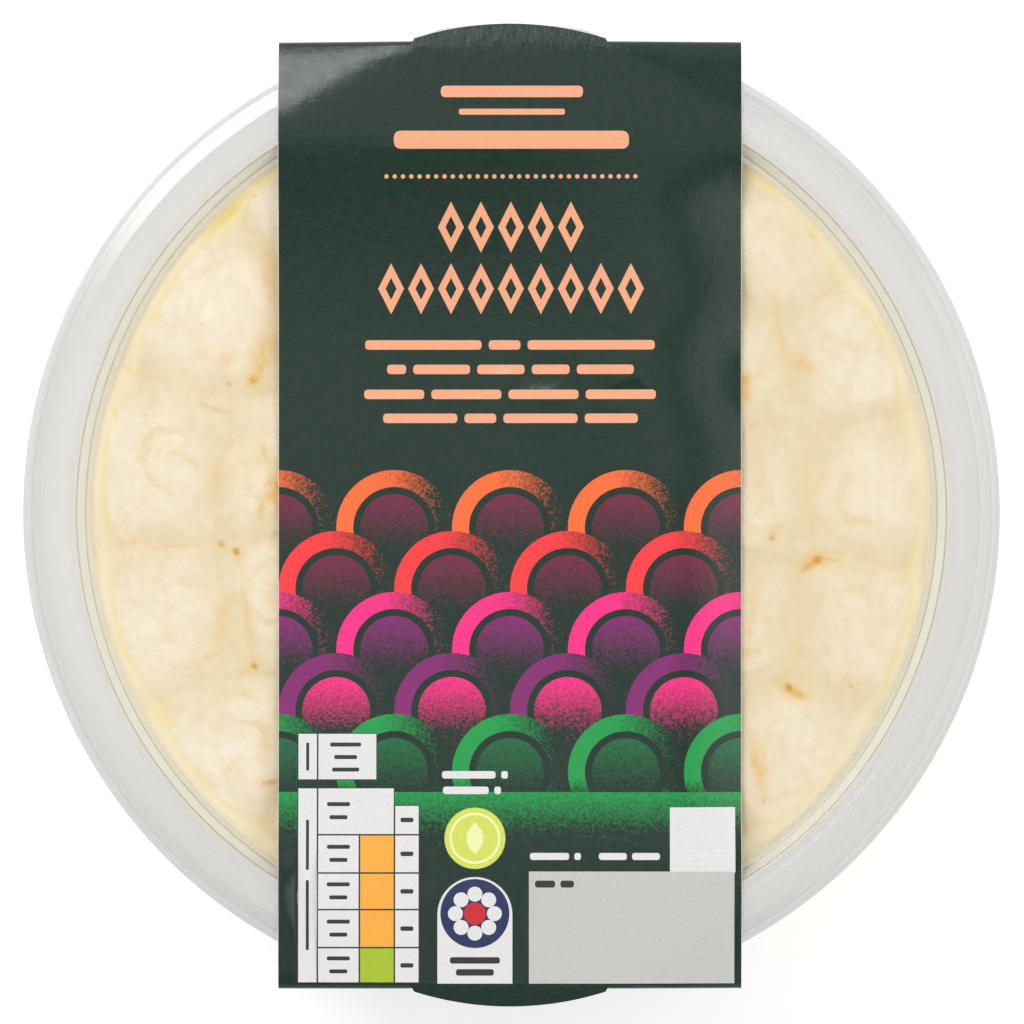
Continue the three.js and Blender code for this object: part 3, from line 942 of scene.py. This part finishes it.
def marks(panel):
    """A plain round mark, a rosette in an arched panel, and the blank date panel."""
    panel.words(-13.6, -0.4, 146.3, 147.8, (8, 1), "white")
    panel.words(-13.4, -1.8, 149.4, 150.9, (7, 1), "white")
    x, mark, rosette = -7.0, 159.7, 174.7
    for radius, ink in ((6.1, "lime"), (5.1, "leaf"), (4.6, "lime")):
        panel.add(disc(x, mark, radius), ink)
    panel.add(leaf(x, mark, 6.4, 3.4), "leaf")
    panel.add(disc(x, rosette + 0.2, 7.5), "white")
    panel.add(bar(x - 7.5, x + 7.5, rosette + 0.2, 188.7), "white")
    panel.add(disc(x, rosette, 6.9, steps=64), "navy")
    for petal in range(8):
        cos, sin = cos_sin(45 * petal)
        panel.add(disc(x + 3.9 * cos, rosette + 3.9 * sin, 1.5, steps=20), "white")
    panel.add(disc(x, rosette, 2.2), "scarlet")
    panel.pill(-12.0, -2.0, 183.4, 184.7, "dark")
    panel.pill(-10.8, -3.2, 185.8, 187.1, "dark")
    panel.words(4.0, 14.2, 162.6, 164.0, (6, 1), "white")
    panel.words(17.8, 30.0, 162.6, 164.0, (4, 4), "white")
    panel.add(bar(32.0, 45.1, 153.5, 166.5), "white")
    panel.add(bar(3.8, 44.9, 166.3, 188.7), "grey")
    panel.words(5.0, 12.8, 168.1, 169.5, (3, 2), "dark")


END_ROW = 130.0  # from the top panel's middle to the row of diamonds, along the card
END_PITCH = 9.0


def end_rows(panel):
    """A row of small diamonds across each end panel."""
    for middle in (TOP_FOLD - END_ROW, TOP_FOLD + END_ROW):
        for step in range(-4, 5):
            panel.add(diamond(step * END_PITCH, middle, 3.0, 5.6), "peach")


def sleeve_print():
    panel = Print()
    for part in (header, scales, table, marks, end_rows):
        part(panel)
    return panel.fields


# ---- Sleeve: the card ----
class Strip:
    """The unfolded card: u runs across it, and s along it from the middle of its top."""

    def __init__(self):
        outer = rounded([
            (SEAM_EDGE, 0, 0),
            (-BASE_FOLD, 0, FOLD_RADIUS),
            (-TOP_FOLD, SLEEVE_TOP, FOLD_RADIUS),
            (TOP_FOLD, SLEEVE_TOP, FOLD_RADIUS),
            (BASE_FOLD, FLAP_LIFT, FOLD_RADIUS),
            (FLAP_EDGE, FLAP_LIFT, 0),
        ], steps=4)
        steps = [(b - a).length for a, b in zip(outer, outer[1:])]
        run = np.concatenate([[0], np.cumsum(steps)])
        flat = [i for i, p in enumerate(outer) if math.isclose(p.y, SLEEVE_TOP, abs_tol=1e-6)]
        self.run = run - (run[flat[0]] + run[flat[-1]]) / 2
        self.fold = float(self.run[flat[-1]])
        self.faces = [np.array(line) for line in (outer, offset(outer, CARD))]

    def place(self, u, s, face):
        """Where a point of the outer face, 0, or the inner face, 1, lies in the folded card."""
        y, z = (np.interp(s, self.run, self.faces[face][:, axis]) for axis in (0, 1))
        return np.array([u * (1 + face * CUT_SLANT / SLEEVE_HALF), y, z])

    def tab_place(self, u, s, face):
        """The half-moon tabs stay in the top panel's plane."""
        return np.array([u, s, SLEEVE_TOP - CARD * face])


def slot_outline(fold):
    """The slot in an end panel that the rim pokes through; the tab is cut from its middle."""
    half = [
        (TAB_HALF - 2.0, fold), (TAB_HALF - 0.5, fold + 1.2), (25.2, fold + 3.0),
        (29.0, fold + 4.2), (29.4, fold + 5.0), (28.8, fold + 5.5),
    ]
    return half + [(-u, s) for u, s in half[::-1]]


def tab_outline(fold):
    """The half-moon past the fold, from its right end over the tip to its left end."""
    radius = (TAB_HALF ** 2 + TAB_RISE ** 2) / (2 * TAB_RISE)
    spread = math.asin(TAB_HALF / radius)
    outline = [(TAB_HALF, fold)]
    middle = TOP_FOLD + TAB_RISE
    for share in np.linspace(1, -1, TAB_STEPS + 1)[1:-1]:
        angle = spread * share
        outline.append((radius * math.sin(angle), middle - radius * (1 - math.cos(angle))))
    return outline + [(-TAB_HALF, fold)]


def anticlockwise(outline):
    """The outline turned, if need be, to run anticlockwise, as the triangulation wants it."""
    area = sum(a[0] * b[1] - b[0] * a[1] for a, b in zip(outline, outline[1:] + outline[:1]))
    return outline if area > 0 else outline[::-1]


def triangulate(outlines, points, lines):
    """Triangles over outlines, points and lines, and which outlines hold each of them."""
    places = [Vector(p) for p in points]
    edges = []
    for line in lines:
        edges.append((len(places), len(places) + 1))
        places += [Vector(p) for p in line]
    faces = []
    for outline in outlines:
        faces.append(list(range(len(places), len(places) + len(outline))))
        places += [Vector(p) for p in anticlockwise(outline)]
    made = delaunay_2d_cdt(places, edges, faces, 0, 1e-5)
    return [tuple(v) for v in made[0]], made[2], made[5]


def even(low, high, pitch):
    """Evenly spaced values from low to high, at most pitch apart."""
    return np.linspace(low, high, math.ceil((high - low) / pitch) + 1)


class CardMesh:
    """The card's outer face in triangles, the ink field of each, and where each point unfolds to."""

    def __init__(self, fields):
        self.strip = Strip()
        self.known = {}
        self.unfolded = []
        self.outer, self.inner = [], []
        self.triangles, self.inks = [], []
        self.add_sheet(fields)
        for side in (1, -1):
            self.add_tab(side)

    def vertex(self, u, s, position):
        outer = position(u, s, 0)
        key = tuple(np.round(outer, 4))
        if key not in self.known:
            self.known[key] = len(self.unfolded)
            self.unfolded.append((u, s))
            self.outer.append(outer)
            self.inner.append(position(u, s, 1))
        return self.known[key]

    def add(self, corners, ink):
        (ax, ay), (bx, by), (cx, cy) = (self.unfolded[i] for i in corners)
        area = (bx - ax) * (cy - ay) - (by - ay) * (cx - ax)
        if len(set(corners)) == 3 and area != 0:
            self.triangles.append(corners if area > 0 else corners[::-1])
            self.inks.append(ink)

    def add_sheet(self, fields):
        run, fold = self.strip.run, self.strip.fold
        rows = np.concatenate([even(a, b, CARD_GRID) for a, b in zip(run, run[1:])])
        columns = even(-SLEEVE_HALF, SLEEVE_HALF, CARD_GRID)
        points = [(u, s) for s in rows for u in columns]
        lines = [((-SLEEVE_HALF, s), (SLEEVE_HALF, s)) for s in run[1:-1]]
        slot = slot_outline(fold)
        outlines = [bar(-SLEEVE_HALF, SLEEVE_HALF, run[0], run[-1]), slot]
        outlines.append([(u, -s) for u, s in slot])
        first_print = len(outlines)
        outlines += [[(u, TOP_FOLD - d) for u, d in outline] for outline, _, _ in fields]
        places, triangles, holders = triangulate(outlines, points, lines)
        vertices = [self.vertex(u, s, self.strip.place) for u, s in places]
        for triangle, inside in zip(triangles, holders):
            if 0 in inside and not {1, 2} & set(inside):
                top_field = max(inside)
                ink = top_field - first_print if top_field >= first_print else BARE
                self.add([vertices[i] for i in triangle], ink)

    def add_tab(self, side):
        fold = self.strip.fold
        columns = even(-SLEEVE_HALF, SLEEVE_HALF, CARD_GRID)
        chord = [(u, side * fold) for u in columns if abs(u) < TAB_HALF]
        outline = [(u, side * s) for u, s in tab_outline(fold)]
        places, triangles, holders = triangulate([outline], chord, [])
        vertices = [self.vertex(u, s, self.strip.tab_place) for u, s in places]
        for triangle, inside in zip(triangles, holders):
            if inside:
                self.add([vertices[i] for i in triangle], BARE)

    def closed_faces(self):
        """The outer face, the inner face turned over, and the cut edge between them."""
        count = len(self.outer)
        directed = {pair for t in self.triangles for pair in zip(t, t[1:] + t[:1])}
        rim = sorted((a, b) for a, b in directed if (b, a) not in directed)
        back = [[i + count for i in t[::-1]] for t in self.triangles]
        edge = [[b, a, a + count, b + count] for a, b in rim]
        return self.triangles + back + edge


# The card bends down past straight lines that touch the rim. Each bend has the bearing of the
# rim's point in degrees, the line's distance from the middle, the slope past it, and how softly
# it starts.
BENDS = [
    (120, 92.0, 0.34, 0.8), (60, 92.4, 0.20, 1.2), (90, 93.2, 0.28, 0.8),
    (240, 92.6, 0.04, 1.2), (300, 92.6, 0.14, 1.2), (270, 93.6, 0.10, 0.8),
]
SAG = 4.2  # how far the middle of the card would hang into the lid's window
SAG_HALF = 74.0  # half the length that hangs
SAG_LOSS = 0.75  # how much less the card's right side hangs
SAG_FADE = (-10, 40)  # across the card, where that loss starts and where it is full
SAG_MOST = 3.9  # how far down the window is, where the card lies on it
SAG_STOP = 16  # how suddenly the card stops there
ROLL = 0.0085  # how fast the slope of the card's right side grows, per millimetre
ROLL_START = 28.0
ROLL_WANDER = 2.0  # how far the roll's start wanders to the sides
ROLL_FADE = (58, 73)  # along the card, where the roll fades and where it ends
RIPPLE = 35.0  # the length of a ripple in the roll's start
RIPPLE_REACH = 3.0
RIPPLE_CREST = 27.5
RIPPLE_MIDDLE = 40.0
RIPPLE_FADE = (30, 55)  # from its middle, where the ripple fades and where it ends
BULGE = 0.7  # how far the end panels bulge
BULGE_WANDER = 0.4  # how far that changes along them
BULGE_START = (70, 80)  # along the card, where the bulge starts and where it is full
CARD_CREASE = 40  # degrees past which the card's edges are sharp


def rolled(x, y, z):
    """How far the card's right side rolls down, from a start that ripples."""
    reach = 1 - smooth(np.abs(y - RIPPLE_MIDDLE), *RIPPLE_FADE)
    ripple = np.cos((y - RIPPLE_CREST) / RIPPLE * TURN) * reach
    start = ROLL_START - RIPPLE_REACH * ripple + ROLL_WANDER * wavering(y, z, 0, 24.0, 21)
    return ROLL * np.maximum(x - start, 0) ** 2 * (1 - smooth(np.abs(y), *ROLL_FADE))


def card_warp(points):
    """How the card bends: it hangs over the window, droops past the rim and rolls at its right."""
    x, y, z = points.T
    along = np.minimum(np.abs(y) / SAG_HALF, 1)
    sag = SAG * (1 - along ** 3) * (1 - SAG_LOSS * smooth(x, *SAG_FADE))
    hang = sag + rolled(x, y, z)
    hang /= (1 + (hang / SAG_MOST) ** SAG_STOP) ** (1 / SAG_STOP)
    droop = np.zeros(len(points))
    for bearing, distance, slope, softness in BENDS:
        cos, sin = cos_sin(bearing)
        past = np.maximum(x * cos + y * sin - distance, 0)
        droop -= slope * (np.hypot(past, softness) - softness)
    moved = points.copy()
    moved[:, 2] += smooth(z, 0, SLEEVE_TOP) * (droop - hang)
    bulge = np.sin(np.clip(z / SLEEVE_TOP, 0, 1) * math.pi) * smooth(np.abs(y), *BULGE_START)
    moved[:, 1] += np.sign(y) * bulge * (BULGE + BULGE_WANDER * wavering(x, z, 0, 30.0, 22))
    return moved


def make_sleeve():
    fields = sleeve_print()
    card = CardMesh(fields)
    points = card_warp(np.array(card.outer + card.inner)) + (SLEEVE_X, SLEEVE_Y, 0)
    sleeve = new_object("card_sleeve", points, card.closed_faces(), CARD_CREASE)
    paint_card(sleeve.data, card, fields)
    sleeve.data.materials.append(card_material())
    return sleeve


def paint_card(mesh, card, fields):
    """Stores each face corner's ink, and how far the ink there has faded."""
    colours = np.tile(rgb(*INKS["white"]), (len(mesh.loops), 1)).astype(np.float32)
    fades = np.zeros(len(mesh.loops), np.float32)
    for polygon, field in zip(mesh.polygons, card.inks):
        _, ink, fade = fields[field] if field != BARE else (None, "green_black", None)
        for loop in polygon.loop_indices:
            colours[loop] = rgb(*INKS[ink])
            if fade:
                u, s = card.unfolded[mesh.loops[loop].vertex_index]
                fades[loop] = min(max(fade(u, TOP_FOLD - s), 0), 1)
    ink_layer = mesh.attributes.new("ink", "FLOAT_COLOR", "CORNER")
    ink_layer.data.foreach_set("color", colours.ravel())
    mesh.attributes.new("fade", "FLOAT", "CORNER").data.foreach_set("value", fades)


def card_material():
    """Printed card under a light varnish, whose fibres show where it shines, with pale fibres
    painted into the ink as wear and sheen.
    """
    shader = Shader("printed_card")
    ink = shader.add("Attribute", attribute_name="ink").outputs["Color"]
    grain = shader.ramp(shader.noise(0.5, 2.0), 0.3, 0.7)
    fade = shader.attribute("fade")
    speckle = shader.times(shader.math("SUBTRACT", grain, 0.5), 0.45)
    gone = shader.ramp(shader.math("ADD", fade, speckle), 0.12, 0.88)
    colour = shader.mix(gone, ink, rgb(*INKS["green_black"]))
    along = shader.noise(1.0, stretch=(2.6, 0.4, 1.0))
    across = shader.noise(1.0, stretch=(0.4, 2.6, 1.0))
    fibres = shader.times(shader.math("ADD", along, across), 0.5)
    # Pale fibres mixed into the ink: partly the card's wear, partly painted sheen.
    wear_and_sheen = shader.times(shader.ramp(fibres, 0.46, 0.62), 0.01)
    colour = shader.mix(wear_and_sheen, colour, rgb(170, 176, 170))
    normal = shader.bump(shader.noise(2.4, 3.0, 0.6), 0.08)
    normal = shader.bump(fibres, 0.035, under=normal)
    gloss = shader.math("ADD", shader.times(shader.noise(2.5), 0.16), 0.2)
    return shader.solid(colour, gloss, {"Specular IOR Level": 0.62, "Normal": normal})


# ---- Stage ----
FLOOR_HALF = 3000.0
FLOOR_GREY = (0.93, 0.93, 0.93, 1)
FLOOR_GLOW = 0.36  # the table is lit from below, which whitens it round the pack
LAMP_DISTANCE = 1.6  # in metres


def make_floor():
    corners = bar(-FLOOR_HALF, FLOOR_HALF, -FLOOR_HALF, FLOOR_HALF)
    floor = new_object("floor", [(x, y, 0) for x, y in corners], [(0, 1, 2, 3)])
    matte = {"Specular IOR Level": 0.0, "Emission Color": WHITE, "Emission Strength": FLOOR_GLOW}
    floor.data.materials.append(Shader("pale_floor").solid(FLOOR_GREY, 0.9, matte))


def make_camera():
    data = bpy.data.cameras.new("camera")
    camera = bpy.data.objects.new("camera", data)
    bpy.context.scene.collection.objects.link(camera)
    data.sensor_width = SENSOR
    data.lens = SENSOR * CAMERA_HEIGHT / (PIXELS * PIXEL)
    data.clip_start = 0.05
    data.clip_end = 20
    across, down = RIM_CENTRE_PIXEL
    camera.location = (
        (PIXELS / 2 - across) * PIXEL * MM,
        (down - PIXELS / 2) * PIXEL * MM,
        (BAND_TOP + CAMERA_HEIGHT) * MM,
    )
    bpy.context.scene.camera = camera


def add_light(name, bearing, height, size, power):
    """A square lamp that looks at the trifle; its angles are in degrees, its size in metres."""
    data = bpy.data.lights.new(name, "AREA")
    data.size = size
    data.energy = power
    lamp = bpy.data.objects.new(name, data)
    bpy.context.scene.collection.objects.link(lamp)
    lamp.visible_camera = False
    (cos, sin), (flat, rise) = cos_sin(bearing), cos_sin(height)
    way = Vector((flat * cos, flat * sin, rise))
    lamp.location = way * LAMP_DISTANCE
    lamp.rotation_euler = way.to_track_quat("Z", "Y").to_euler()


def sky(nodes, way, low, high, low_light, high_light):
    """Light that changes between two cosines of the angle to a way."""
    inputs = {0: nodes.add("TexCoord").outputs["Generated"], 1: Vector(way).normalized()}
    towards = nodes.add("VectorMath", inputs, operation="DOT_PRODUCT").outputs["Value"]
    return nodes.ramp(towards, low, high, low_light, high_light)


def make_world():
    """A pale room that is dim overhead, but for a soft lamp there."""
    world = bpy.data.worlds.new("studio")
    world.use_nodes = True
    nodes = Nodes(world.node_tree)
    room = sky(nodes, (0, 0, 1), low=0.70, high=0.95, low_light=0.86, high_light=0.12)
    lamp = sky(nodes, (-0.05, 0.04, 1), low=0.970, high=0.992, low_light=0.0, high_light=0.8)
    light = nodes.add("Background", {"Color": WHITE, "Strength": nodes.math("ADD", room, lamp)})
    nodes.add("OutputWorld", {"Surface": light.outputs[0]})
    bpy.context.scene.world = world


def make_lights():
    make_world()
    add_light("key", bearing=124, height=53, size=0.78, power=9.7)
    add_light("fill", bearing=-12, height=48, size=1.5, power=5.4)
    scene = bpy.context.scene
    scene.view_settings.view_transform = "Standard"
    scene.cycles.transparent_max_bounces = 16
    scene.cycles.use_light_tree = False


# ---- Assembly ----
def main():
    make_camera()
    make_lights()
    make_floor()
    sponge, jelly, custard = make_layers()
    pieces = {
        "tub": (make_tub(), "tub_plastic"),
        "lid": (make_lid(), "lid_plastic"),
        "sponge": (sponge, "soaked_sponge"),
        "jelly": (jelly, "fruit_jelly"),
        "custard": (custard, "vanilla_custard"),
        "cream": (make_cream(), "whipped_cream"),
        "sleeve": (make_sleeve(), "printed_card"),
    }
    for node, (piece, slot) in pieces.items():
        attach(piece, "root")
        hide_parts(node)


main()
